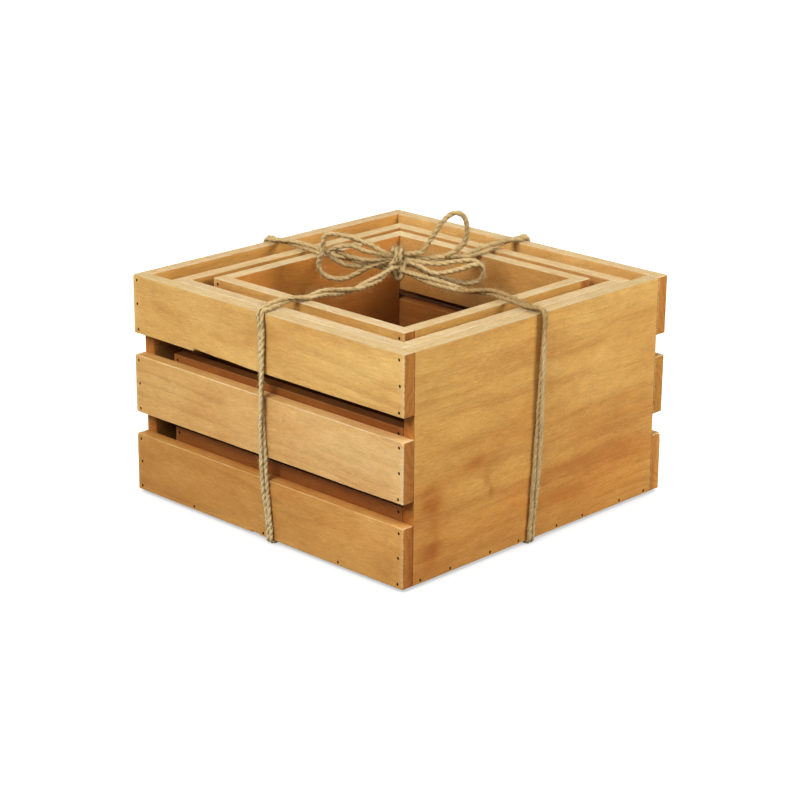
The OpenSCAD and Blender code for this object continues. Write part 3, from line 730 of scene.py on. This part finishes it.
class Strands:
    """Collects closed tubes and hairs into one mesh."""

    def __init__(self):
        self.co, self.q, self.tri, self.tc, self.tr, self.n = [], [], [], [], [], 0

    def tube(self, p, r, sides=10, rand=0.5, s0=0.0, squash=None):
        t, n, b = frames(p)
        m = len(p)
        ang = np.linspace(0, 2 * math.pi, sides, endpoint=False)
        s = s0 + np.concatenate([[0], np.cumsum(np.linalg.norm(np.diff(p, axis=0), axis=1))])
        ca, sa = np.cos(ang), np.sin(ang)
        rr = np.asarray(r, float).reshape(m, -1)
        ring = p[:, None, :] + rr[..., None] * (ca[None, :, None] * n[:, None, :] + sa[None, :, None] * b[:, None, :])
        base = self.n
        i = np.arange(m - 1)[:, None] * sides
        j = np.arange(sides)[None, :]
        k = (j + 1) % sides
        q = np.stack([i + j, i + k, i + sides + k, i + sides + j], -1).reshape(-1, 4) + base
        ends = np.stack([p[0] - t[0] * rr[0].mean() * 0.35, p[-1] + t[-1] * rr[-1].mean() * 0.35])
        c0, c1 = base + m * sides, base + m * sides + 1
        j, k = np.arange(sides), (np.arange(sides) + 1) % sides
        t0 = np.stack([np.full(sides, c0), base + k, base + j], 1)
        t1 = np.stack([np.full(sides, c1), base + (m - 1) * sides + j, base + (m - 1) * sides + k], 1)
        self.co += [ring.reshape(-1, 3), ends]
        self.q.append(q)
        self.tri += [t0, t1]
        tc = np.stack([np.repeat(s, sides), np.tile(ca, m), np.tile(sa, m)], 1)
        tc[:, 1:] += 13.0 * rand
        self.tc += [tc, [[s[0], 13.0 * rand, 0], [s[-1], 13.0 * rand, 0]]]
        self.tr.append(np.full(m * sides + 2, rand))
        self.n += m * sides + 2

    def build(self, name, body, nodes):
        co = np.vstack(self.co)
        for ax, reach in ((0, REACH_X), (1, REACH_Y)):
            over = np.maximum(np.abs(co[:, ax]) - reach - 5.5, 0)
            co[:, ax] -= np.sign(co[:, ax]) * (over - 3.5 * over / (over + 3.5))
        co[:, 2] = np.maximum(co[:, 2], 0.01 + 0.02 * (co[:, 2] < 0) * np.minimum(-co[:, 2], 1))
        if "leg" in name:
            # a leg lies against the crate's face and slides up along it without cutting in
            for ax, reach in ((0, REACH_X), (1, REACH_Y)):
                deep = reach + 0.16 - np.abs(co[:, ax])
                cut = (deep > 0) & (deep < 4) & (co[:, 2] < RIM - 3)
                co[cut, ax] = np.sign(co[cut, ax]) * (reach + 0.16 - 0.1 * deep[cut] / (deep[cut] + 1))
        if "under" in name:
            below = (np.abs(co[:, 0]) < REACH_X - 1.5) & (np.abs(co[:, 1]) < REACH_Y - 1.5)
            below &= ~((np.abs(co[:, 0] - RUN_X) < 13) & (np.abs(co[:, 1] - RUN_Y) < 8) & ("x" in name[-6:]))
            co[below, 2] = np.minimum(co[below, 2], BASE - 0.03)
        # painted light and shade along the cord: the lengths hanging down the faces, the front one most, are painted
        # paler, and the lengths over the rim or under the crate towards +x are painted darker
        hang_light = smooth(4, 30, RIM - co[:, 2]) * (np.maximum(np.abs(co[:, 0]) - REACH_X, np.abs(co[:, 1]) - REACH_Y) > -3)
        tr = np.concatenate(self.tr) + hang_light * np.where(co[:, 1] < -REACH_Y + 3, 1.15, 0.3) - 0.7 * (1 - hang_light) * (co[:, 0] > 60)
        ob = mesh_object(name, co, np.vstack(self.q), np.vstack(self.tri),
                         {"tc": np.vstack(self.tc), "tr": tr})
        ob.data.materials.append(MATS["jute_twine"])
        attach(ob, body)
        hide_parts(*nodes)
        return ob


PLY_OFF = 0.47
PLY_R = 1.33
PITCH = 11.0


def plies(p, phase, seed, flat=None, pitch=PITCH, off=PLY_OFF, r=PLY_R):
    """The centre lines and radii of a two-ply cord round path p; flat thins it where weight rests on it."""
    t, n, b = frames(p)
    s = np.concatenate([[0], np.cumsum(np.linalg.norm(np.diff(p, axis=0), axis=1))])
    wob = noise(np.stack([s, 0 * s, 0 * s], 1), 13.0, seed)
    a = 2 * math.pi * (s / pitch) + phase + 0.95 * wob
    out = []
    for k in (0, 1):
        e = off * (1 + 0.1 * noise(np.stack([s, 0 * s, 0 * s], 1), 6.0, seed + 3 + k))
        o = e[:, None] * (np.cos(a + math.pi * k)[:, None] * n + np.sin(a + math.pi * k)[:, None] * b)
        c = p + o
        if flat is not None:
            c[:, 2] = p[:, 2] + o[:, 2] * flat
        ang = np.linspace(0, 2 * math.pi, 10, endpoint=False)
        ss = np.repeat(s, 10)
        q = np.stack([ss, 1.7 * np.tile(np.cos(ang), len(s)), 1.7 * np.tile(np.sin(ang), len(s))], 1)
        rad = r * (1 + 0.09 * noise(np.stack([ss, 0 * ss, 0 * ss], 1), 4.5, seed + 7 + k)
                   + 0.1 * noise(q, (2.4, 0.8, 0.8), seed + 11 + k)).reshape(len(s), 10)
        if flat is not None:
            rad = rad * (0.5 + 0.5 * flat[:, None])
        out.append((c, rad, s))
    return out


def fuzz(st, p, per_mm, rng, r_cord=1.75, long=1.0, keep=None):
    """Loose fibres standing off a cord."""
    t, n, b = frames(p)
    s = np.concatenate([[0], np.cumsum(np.linalg.norm(np.diff(p, axis=0), axis=1))])
    for _ in range(int(s[-1] * per_mm)):
        i = int(rng.integers(2, len(p) - 2))
        a = rng.uniform(0, 2 * math.pi)
        rad = math.cos(a) * n[i] + math.sin(a) * b[i]
        if keep is not None and not keep(p[i], rad):
            continue
        length = min(rng.gamma(2.2, 1.3) * long + 0.8, 8.5) if rng.random() < 0.6 else rng.uniform(0.7, 2.2)
        lean = rng.uniform(-1, 1)
        d = rad * rng.uniform(0.35, 1.0) + t[i] * lean * 1.3 + rng.normal(0, 0.25, 3)
        d /= np.linalg.norm(d)
        curl = rng.normal(0, 1, 3) * rng.uniform(0.1, 0.75)
        u = np.linspace(0, 1, 6)[:, None]
        pts = p[i] + rad * r_cord * 0.82 + length * (d * u + 0.5 * curl * u**2)
        pts[:, 2] = np.maximum(pts[:, 2], 0.15)
        r = np.linspace(rng.uniform(0.075, 0.125), 0.03, 6)
        st.tube(pts, np.repeat(r[:, None], 3, 1), 3, rng.uniform(0.45, 1.0))


REACH_X = box_mm("large_right_end")[1][0]
REACH_Y = box_mm("large_back_slat_top")[1][1]
OFF = 1.92
HALF = 1.9
klo_, khi_ = box_mm("twine_knot")
KNOT = (klo_ + khi_) / 2
BOW = KNOT + np.array([0, 0, 4.0])
UX = box_mm("twine_under_x")
UY = box_mm("twine_under_y")
RUN_Y = (UX[0][1] + UX[1][1]) / 2
RUN_X = (UY[0][0] + UY[1][0]) / 2
HUMP = UX[1][2] - UY[1][2]


def round_loop(axis, tops, sides, level, turns, seed):
    """A doubled cord right round the bundle: over the rims, down, under, up, and back to the knot.
    tops and sides, for the + side and the - side: (share of the way, sideways place) from the knot
    out to the rim, and from the rim down to the foot."""
    e = np.eye(3)[axis]
    v = np.eye(3)[1 - axis]
    reach = REACH_X if axis == 0 else REACH_Y
    k = KNOT @ e
    kv = KNOT @ v
    pts, nrm = [], []

    def add(a, side, z, n):
        pts.append(a * e + side * v + np.array([0, 0, z]))
        nrm.append(np.asarray(n, float))

    up, dn = np.array([0, 0, 1.0]), np.array([0, 0, -1.0])
    run = sides[0][-1][1]
    for sgn in (1, -1):
        over, down = tops[0 if sgn > 0 else 1], sides[0 if sgn > 0 else 1]
        R = reach
        top = over[-1][1]
        seq = [(k, kv, RIM + level, up)]
        d0 = sgn * (R - 5.0) - k
        slack = {id(OVER_RIGHT): 3.0, id(OVER_FRONT): 4.6}.get(id(over), 0.8)
        for f, side in over[1:-1]:
            z = RIM + OFF + 0.2 + (level - OFF - 0.2) * (1 - smooth(0.0, 0.55, f))
            z -= slack * float(smooth(0.0, 0.2, f) * (1 - smooth(0.5, 0.66, f)))
            seq.append((k + d0 * f, side, z, up))
        seq.append((sgn * (R - 5.0), top, RIM + OFF + 0.1, up))
        seq.append((sgn * (R - 0.6), top, RIM + OFF, up))
        seq.append((sgn * (R + 1.1), top, RIM + 1.15, (up + sgn * e) / math.sqrt(2)))
        seq.append((sgn * (R + OFF), top, RIM - 1.0, sgn * e))
        for f, side in down:
            z = RIM - 6 + (BASE + 7 - RIM + 6) * f
            seq.append((sgn * (R + OFF + 0.12), side, z, sgn * e))
        seq.append((sgn * (R + OFF), run, BASE + 1.8, sgn * e))
        seq.append((sgn * (R + 1.0), run, BASE - 0.55, (dn + sgn * e) / math.sqrt(2)))
        seq.append((sgn * (R - 0.9), run, BASE - 1.18, dn))
        seq.append((sgn * (R - 6), run, BASE - 1.2, dn))
        if sgn > 0:
            for q in seq:
                add(*q)
            if axis == 0:
                for x, z in ((60, 0), (RUN_X + 13.5, 0), (RUN_X + 10.5, 0.45), (RUN_X + 7.0, HUMP), (RUN_X, HUMP),
                             (RUN_X - 7.0, HUMP), (RUN_X - 10.5, 0.45), (RUN_X - 13.5, 0), (-60, 0)):
                    add(x, run, BASE - 1.2 + z, dn)
            else:
                for x in (90, 30, -30, -90):
                    add(x, run, BASE - 1.2, dn)
        else:
            for q in reversed(seq):
                add(*q)
    both = np.hstack([np.array(pts), np.array(nrm)])
    p = np.asarray(both, float)
    # linear in the straights with short rounded turns
    path, s = resample(densify(p), 0.7)
    c, nn = path[:, :3], path[:, 3:]
    nn = nn / np.maximum(np.linalg.norm(nn, axis=1, keepdims=True), 1e-9)
    t = np.gradient(c, axis=0)
    t /= np.maximum(np.linalg.norm(t, axis=1, keepdims=True), 1e-9)
    lat = np.cross(nn, t)
    lat /= np.maximum(np.linalg.norm(lat, axis=1, keepdims=True), 1e-9)
    total = s[-1]
    foot = np.argmax(c[:, 2] < BASE + 0.3)
    foot2 = len(c) - 1 - np.argmax(c[::-1, 2] < BASE + 0.3)
    # how the pair turns round itself: side by side below, loosely wound above
    psi = np.zeros(len(c))
    a = np.interp(s, [0, s[foot] * 0.45, s[foot] * 0.62, s[foot] * 0.93], [turns[0], turns[0] * 0.28, turns[0] * 0.2, 0.0])
    b2 = total - s[foot2]
    b = np.interp(total - s, [0, b2 * 0.45, b2 * 0.62, b2 * 0.93], [turns[1], turns[1] * 0.28, turns[1] * 0.2, 0.0])
    psi = np.where(s < total / 2, a, b) * math.pi
    line = np.stack([s, 0 * s, 0 * s], 1)
    live = smooth(BASE + 4, BASE + 20, c[:, 2])
    sway = (0.7 * noise(line, 45, seed) + 0.35 * noise(line, 14, seed + 1)) * live
    apart = HALF - 0.3 * live + 0.28 * np.maximum(noise(line, 33, seed + 2), 0) * live
    lift = (0.22 * (1 + noise(line, 19, seed + 4))) * live
    cords = []
    for sg in (1, -1):
        o = sg * (np.cos(psi)[:, None] * lat + np.sin(psi)[:, None] * nn) * apart[:, None]
        o += nn * (apart * np.abs(np.sin(psi)) + lift * (0.5 + 0.5 * sg))[:, None] + lat * sway[:, None]
        cords.append(c + o)
    flat = 0.72 + 0.28 * smooth(BASE - 0.9, BASE + 2.2, c[:, 2])
    hump = (np.arange(len(c)) > foot) & (np.arange(len(c)) < foot2)
    flat[hump] = 0.72
    return cords, flat, foot, foot2


def densify(p):
    """A curve through the points of p (any width), with chord-length tangents, so uneven spacing doesn't overshoot."""
    d = np.linalg.norm(np.diff(p[:, :3], axis=0), axis=1)
    s = np.concatenate([[0], np.cumsum(d)])
    m = np.zeros_like(p)
    sec = np.diff(p, axis=0) / d[:, None]
    m[1:-1] = (sec[:-1] * d[1:, None] + sec[1:] * d[:-1, None]) / (d[:-1] + d[1:])[:, None]
    m[0], m[-1] = sec[0], sec[-1]
    out = []
    for i in range(len(p) - 1):
        n = max(3, int(d[i] / 0.5))
        t = np.linspace(0, 1, n, endpoint=False)[:, None]
        h00, h10 = 2 * t**3 - 3 * t**2 + 1, t**3 - 2 * t**2 + t
        h01, h11 = -2 * t**3 + 3 * t**2, t**3 - t**2
        out.append(h00 * p[i] + h10 * d[i] * m[i] + h01 * p[i + 1] + h11 * d[i] * m[i + 1])
    out.append(p[-1][None])
    return np.vstack(out)


# where each leg lies: out over the rims, then down the side
OVER_RIGHT = [(0, 3), (0.06, 3), (0.2, 2.2), (0.34, 2.0), (0.5, 3.4), (0.68, 1.8), (0.86, -0.6), (0.95, -2.4), (1, -2.8)]
OVER_LEFT = [(0, 3), (0.07, 2.2), (0.3, -0.5), (0.58, -4.0), (0.75, -4.6), (0.9, -4.8), (1, -4.0)]
OVER_BACK = [(0, -6), (0.07, -5), (0.28, 0.2), (0.55, 3.6), (0.73, 3.0), (0.91, -0.8), (1, -1.0)]
OVER_FRONT = [(0, -6), (0.07, -4.2), (0.18, -0.6), (0.32, 0.6), (0.47, 0.4), (0.62, 1.4), (0.74, 1.2), (0.88, 0.0), (0.96, 0.8), (1, 1.6)]
DOWN_RIGHT = [(0, -2.9), (0.14, -3.5), (0.38, -5.0), (0.57, -5.9), (0.71, -7.0), (0.85, -8.7), (0.95, -9.9), (1, RUN_Y)]
DOWN_LEFT = [(0, -3.6), (0.3, -4.6), (0.6, -7.0), (0.85, -9.4), (1, RUN_Y)]
DOWN_BACK = [(0, -0.9), (0.3, 1.8), (0.6, 5.0), (0.85, 7.8), (1, RUN_X)]
DOWN_FRONT = [(0, 1.9), (0.18, 2.6), (0.4, 3.0), (0.56, 3.5), (0.73, 4.8), (0.84, 6.0), (0.93, 7.7), (1, RUN_X)]
fuzz_rng = np.random.default_rng(5)


def lay(axis, tops, sides, level, turns, seed, names):
    cords, flat, foot, foot2 = round_loop(axis, tops, sides, level, turns, seed)
    legs = {names[0]: Strands(), names[1]: Strands(), names[2]: Strands()}
    for i, c in enumerate(cords):
        for k, (q, rad, s) in enumerate(plies(c, 1.9 * i + seed, seed + 20 * i, flat)):
            rnd = RNG.uniform(0.3, 0.7)
            legs[names[0]].tube(q[:foot + 1], rad[:foot + 1], 10, rnd)
            legs[names[1]].tube(q[foot + 1:foot2], rad[foot + 1:foot2], 10, rnd, s[foot + 1])
            legs[names[2]].tube(q[foot2:], rad[foot2:], 10, rnd, s[foot2])

        def clear(side):
            def ok(pt, rad):
                if pt[2] > RIM:
                    return rad[2] > -0.1 or RNG.random() < 0.15
                return (rad @ np.eye(3)[axis]) * side > -0.1
            return ok
        fuzz(legs[names[0]], c[:foot - 8], 4.6, fuzz_rng, keep=clear(1))
        fuzz(legs[names[2]], c[foot2 + 8:], 4.6, fuzz_rng, keep=clear(-1))
    legs[names[0]].build(names[0].replace("_", "-") + "-cord", "twine_tie", [names[0]])
    legs[names[2]].build(names[2].replace("_", "-") + "-cord", "twine_tie", [names[2]])
    legs[names[1]].build(names[1].replace("_", "-") + "-cord", "large_crate", [names[1]])


lay(0, (OVER_RIGHT, OVER_LEFT), (DOWN_RIGHT, DOWN_LEFT), 1.4, (3, -3), 3, ("twine_leg_right", "twine_under_x", "twine_leg_left"))
lay(1, (OVER_BACK, OVER_FRONT), (DOWN_BACK, DOWN_FRONT), 4.8, (-3, 4), 9, ("twine_leg_back", "twine_under_y", "twine_leg_front"))

# the bow. Its points are (to the right, away, up) of its middle as seen from the front corner
RIGHT, AWAY, UP = np.array([0.72, 0.69, 0]), np.array([-0.69, 0.72, 0]), np.array([0, 0, 1.0])
LIFT = 0.2
LEFT_OUTER = [(-3, 0, 0), (-12, -1, 3), (-20, -2, 8), (-29, -3, 12), (-38, -4, 16), (-46, -5, 18), (-54, -6, 19), (-58, -4, 17), (-60, -3, 12), (-60, -1, 5), (-62, 0, -1), (-64, 1, -8), (-62, 2, -14), (-57, 4, -19), (-50, 5, -21), (-43, 6, -21), (-34, 5, -17), (-26, 4, -12), (-17, 2, -8), (-9, 1, -5), (-3, 0, -3)]
LEFT_INNER = [(-4, 0, -1), (-12, -1, 1), (-26, -2, 4), (-36, -2, 8), (-45, -2, 8), (-53, 0, 5), (-57, 2, 1), (-52, 4, -4), (-43, 5, -9), (-34, 7, -11), (-24, 5, -9), (-17, 3, -7), (-7, 1, -4)]
TAIL_LEFT = [(-5, 0, -2), (-17, 1, -4), (-28, 1, -4), (-38, 2, -2), (-45, 2, 1), (-50, 3, 3)]
UPRIGHT = [(3, 0, 1), (14, 0, 2), (20, -1, 4), (24, -1, 11), (29, -2, 19), (34, -2, 27), (39, 0, 32), (45, 1, 35), (51, 3, 33), (54, 4, 27), (55, 5, 20), (54, 6, 12), (51, 7, 7), (44, 8, 1), (36, 6, -2), (27, 4, -3), (12, 3, -3), (4, 1, -3)]
DROOP = [(4, 0, -4), (14, -1, -7), (27, -3, -13), (36, -4, -13), (51, -5, -9), (60, -5, -6), (65, -3, -6), (68, -1, -10), (68, 1, -17), (63, 3, -22), (55, 5, -24), (46, 7, -23), (36, 6, -20), (28, 4, -17), (17, 3, -11), (6, 1, -6)]
TAIL_RIGHT = [(5, 0, -3), (22, 0, -6), (33, 1, -7), (46, 1, -5), (57, 2, -4), (65, 2, -6)]


def bow_curve(points, step=0.7):
    p = np.array([BOW + a * RIGHT + b * AWAY + (c + LIFT) * UP for a, b, c in points])
    return curve(p, step)[0]


def cord(st, p, seed, per_mm=6.4, r=1.5, off=0.6, long=1.0):
    for q, rad, s in plies(p, 0.7 * seed, seed, r=r, off=off):
        st.tube(q, rad, 10, RNG.uniform(0.3, 0.75))
    fuzz(st, p, per_mm, fuzz_rng, long=long)


def fray(st, p, count, seed, spread=0.5, length=9.0):
    """The end of a cord come undone into fibres."""
    rng = np.random.default_rng(seed)
    end, d = p[-1], p[-1] - p[-6]
    d = d / np.linalg.norm(d)
    for _ in range(count):
        a = rng.normal(0, 1, 3)
        a -= d * (a @ d)
        start = end - d * rng.uniform(0, 3) + a * 0.35
        aim = d + a * spread * rng.uniform(0.2, 1.0)
        aim /= np.linalg.norm(aim)
        l = length * rng.uniform(0.35, 1.15)
        u = np.linspace(0, 1, 7)[:, None]
        curl = rng.normal(0, 0.3, 3)
        pts = start + l * (aim * u + curl * u**2)
        st.tube(pts, np.repeat(np.linspace(rng.uniform(0.09, 0.16), 0.03, 7)[:, None], 3, 1), 3, rng.uniform(0.6, 1.0))


st = Strands()
cord(st, bow_curve(LEFT_OUTER), 41)
cord(st, bow_curve(LEFT_INNER), 43)
st.build("bow-loops-left-cord", "twine_tie", ["bow_loops_left"])
st = Strands()
cord(st, bow_curve(DROOP), 47)
st.build("bow-loop-right-cord", "twine_tie", ["bow_loop_right"])
st = Strands()
cord(st, bow_curve(UPRIGHT), 53)
st.build("bow-loop-upright-cord", "twine_tie", ["bow_loop_upright"])
st = Strands()
for pts, sd in ((TAIL_LEFT, 59), (TAIL_RIGHT, 61)):
    p = bow_curve(pts)
    cord(st, p, sd, 3.0, long=1.2)
    fray(st, p, 46, sd, 0.55, 9.0)
st.build("twine-tails-cord", "twine_tie", ["twine_tails"])

# the knot: a wrap round the bow's waist, a wrap round the crossing, and a slack bight below it
st = Strands()
th = np.linspace(-0.6, 2 * math.pi * 2.35, 150)
wrap = np.array([BOW + (-3.9 + 3.1 * t / (2 * math.pi)) * RIGHT
                 + (5.2 + 0.3 * math.sin(1.7 * t)) * (math.sin(t) * AWAY + math.cos(t) * UP * 1.12) - 0.4 * UP for t in th])
cord(st, resample(wrap, 0.6)[0], 67, 6.0, r=1.22, off=0.62, long=0.9)
C = KNOT - np.array([0, 0, 4.8])
th = np.linspace(0.4, 2 * math.pi * 1.9, 110)
wrap = np.array([C + (5.2 + 0.4 * math.sin(t * 1.3)) * math.sin(t) * RIGHT + (1.9 - 2.4 * t / (2 * math.pi)) * AWAY
                 + 5.6 * math.cos(t) * UP for t in th])
cord(st, resample(wrap, 0.6)[0], 71, 3.0)
bight = [(-2, -1, -7), (-3, -2.6, -10), (-3.1, -3.8, -14), (-1.2, -4.4, -17.6), (1.6, -4.3, -17.8), (3.3, -3.7, -14), (3, -2.6, -10), (2, 0, -7)]
cord(st, bow_curve(bight, 0.6), 73, 3.0)
rng = np.random.default_rng(83)
for _ in range(150):
    a = rng.uniform(0, 2 * math.pi)
    d = math.sin(a) * AWAY + (0.55 + abs(math.cos(a))) * UP * 0.8 + rng.normal(0, 0.35, 3)
    d /= np.linalg.norm(d)
    base = BOW + rng.uniform(-4, 4) * RIGHT + d * rng.uniform(4.6, 5.8) + 0.5 * UP
    u = np.linspace(0, 1, 6)[:, None]
    pts = base + rng.uniform(1.5, 5.0) * (d * u + rng.normal(0, 0.4, 3) * u**2)
    st.tube(pts, np.repeat(np.linspace(0.09, 0.025, 6)[:, None], 3, 1), 3, rng.uniform(0.6, 1.0))
st.build("twine-knot-cord", "twine_tie", ["twine_knot"])

# ------------------------------------------------------------------ stage
bpy.ops.mesh.primitive_plane_add(size=40, location=(0, 0, 0))
floor = bpy.context.object
floor.name = "floor"
g = Graph("floor_white")
n = g.noise(g.put("ShaderNodeTexCoord").outputs["Object"], (3.0, 3.0, 3.0), 3.0)
col = g.mix(n, (0.3, 0.3, 0.3), (0.32, 0.32, 0.32))
# painted contact shadow: the floor's colour and glow are darkened by ambient occlusion next to the crate
near = g.put("ShaderNodeAmbientOcclusion", {"Distance": 0.04}, samples=12)
near = g.ramp(near.outputs["AO"], 0.25, 0.97, 0.58, 1.0, "LINEAR")
col = g.mix(1.0, col, g.put("ShaderNodeCombineXYZ", {0: near, 1: near, 2: near}).outputs[0], "MULTIPLY")
p = g.put("ShaderNodeBsdfPrincipled", {"Base Color": col, "Roughness": 0.9, "Specular IOR Level": 0.1,
                                       "Emission Color": (1, 1, 1, 1), "Emission Strength": g.math("MULTIPLY", near, 0.96)})
# the camera sees the floor lit up white; the object sees a greyer table, so its lower parts fall off
dim = g.put("ShaderNodeBsdfDiffuse", {"Color": (0.32, 0.31, 0.3, 1)})
path = g.put("ShaderNodeLightPath")
both = g.put("ShaderNodeMixShader", {0: path.outputs["Is Camera Ray"], 1: dim.outputs[0], 2: p.outputs[0]})
o = g.put("ShaderNodeOutputMaterial")
g.t.links.new(both.outputs[0], o.inputs[0])
floor.data.materials.append(g.mat)

world = bpy.data.worlds.new("studio")
bpy.context.scene.world = world
world.use_nodes = True
wt = world.node_tree
bg = wt.nodes["Background"]
wc_ = wt.nodes.new("ShaderNodeTexCoord")
ws = wt.nodes.new("ShaderNodeSeparateXYZ")
wt.links.new(wc_.outputs["Generated"], ws.inputs[0])
wm = wt.nodes.new("ShaderNodeMapRange")
wm.interpolation_type = "SMOOTHSTEP"
for k, v in (("From Min", 0.0), ("From Max", 0.85), ("To Min", 0.15), ("To Max", 0.36)):
    wm.inputs[k].default_value = v
wt.links.new(ws.outputs[2], wm.inputs["Value"])
wl = wt.nodes.new("ShaderNodeLightPath")
wx = wt.nodes.new("ShaderNodeMix")
wx.data_type = "FLOAT"
wt.links.new(wl.outputs["Is Camera Ray"], wx.inputs[0])
wt.links.new(wm.outputs[0], wx.inputs[2])
wx.inputs[3].default_value = 1.0
bg.inputs[0].default_value = (1, 1, 1, 1)
wt.links.new(wx.outputs[0], bg.inputs[1])


def lamp(name, place, aim, size, watts, colour=(1, 1, 1)):
    data = bpy.data.lights.new(name, "AREA")
    data.shape = "RECTANGLE"
    data.size, data.size_y = size
    data.energy = watts
    data.color = colour
    ob = bpy.data.objects.new(name, data)
    bpy.context.scene.collection.objects.link(ob)
    ob.location = place
    d = np.array(aim, float) - np.array(place, float)
    ob.rotation_mode = "QUATERNION"
    ob.rotation_quaternion = Vector(d).to_track_quat("-Z", "Y")
    return ob


lamp("key", (0.22, -1.44, 1.45), (0, 0, 0.1), (1.0, 1.0), 42)
lamp("side", (1.46, 0.66, 0.95), (0, 0, 0.1), (0.8, 0.8), 22.5)
lamp("fill", (-1.3, -1.0, 1.0), (0, 0, 0.1), (1.0, 1.0), 5)
back_lamp = lamp("back", (-1.5, 1.6, 0.7), (0, 0, 0.1), (1.2, 0.9), 34)
back_lamp.visible_glossy = False

cam_data = bpy.data.cameras.new("camera")
cam = bpy.data.objects.new("camera", cam_data)
bpy.context.scene.collection.objects.link(cam)
cam_data.sensor_width = 36
cam_data.lens = 2354.18 / 800 * 36
cam_data.clip_end = 60
az, el, roll = math.radians(43.904), math.radians(18.654), math.radians(0.4495)
back = Vector((math.sin(az) * math.cos(el), -math.cos(az) * math.cos(el), math.sin(el)))
right = Vector((math.cos(az), math.sin(az), 0))
upv = back.cross(right)
X = right * math.cos(roll) + upv * math.sin(roll)
Y = -right * math.sin(roll) + upv * math.cos(roll)
place = Vector((1.25464, -1.30342, 0.68695 + 0.0024))
cam.matrix_world = Matrix((
    (X.x, Y.x, back.x, place.x),
    (X.y, Y.y, back.y, place.y),
    (X.z, Y.z, back.z, place.z),
    (0, 0, 0, 1),
))
bpy.context.scene.camera = cam
bpy.context.scene.view_settings.view_transform = "Standard"
bpy.context.scene.view_settings.gamma = 0.87

bpy.context.view_layer.update()
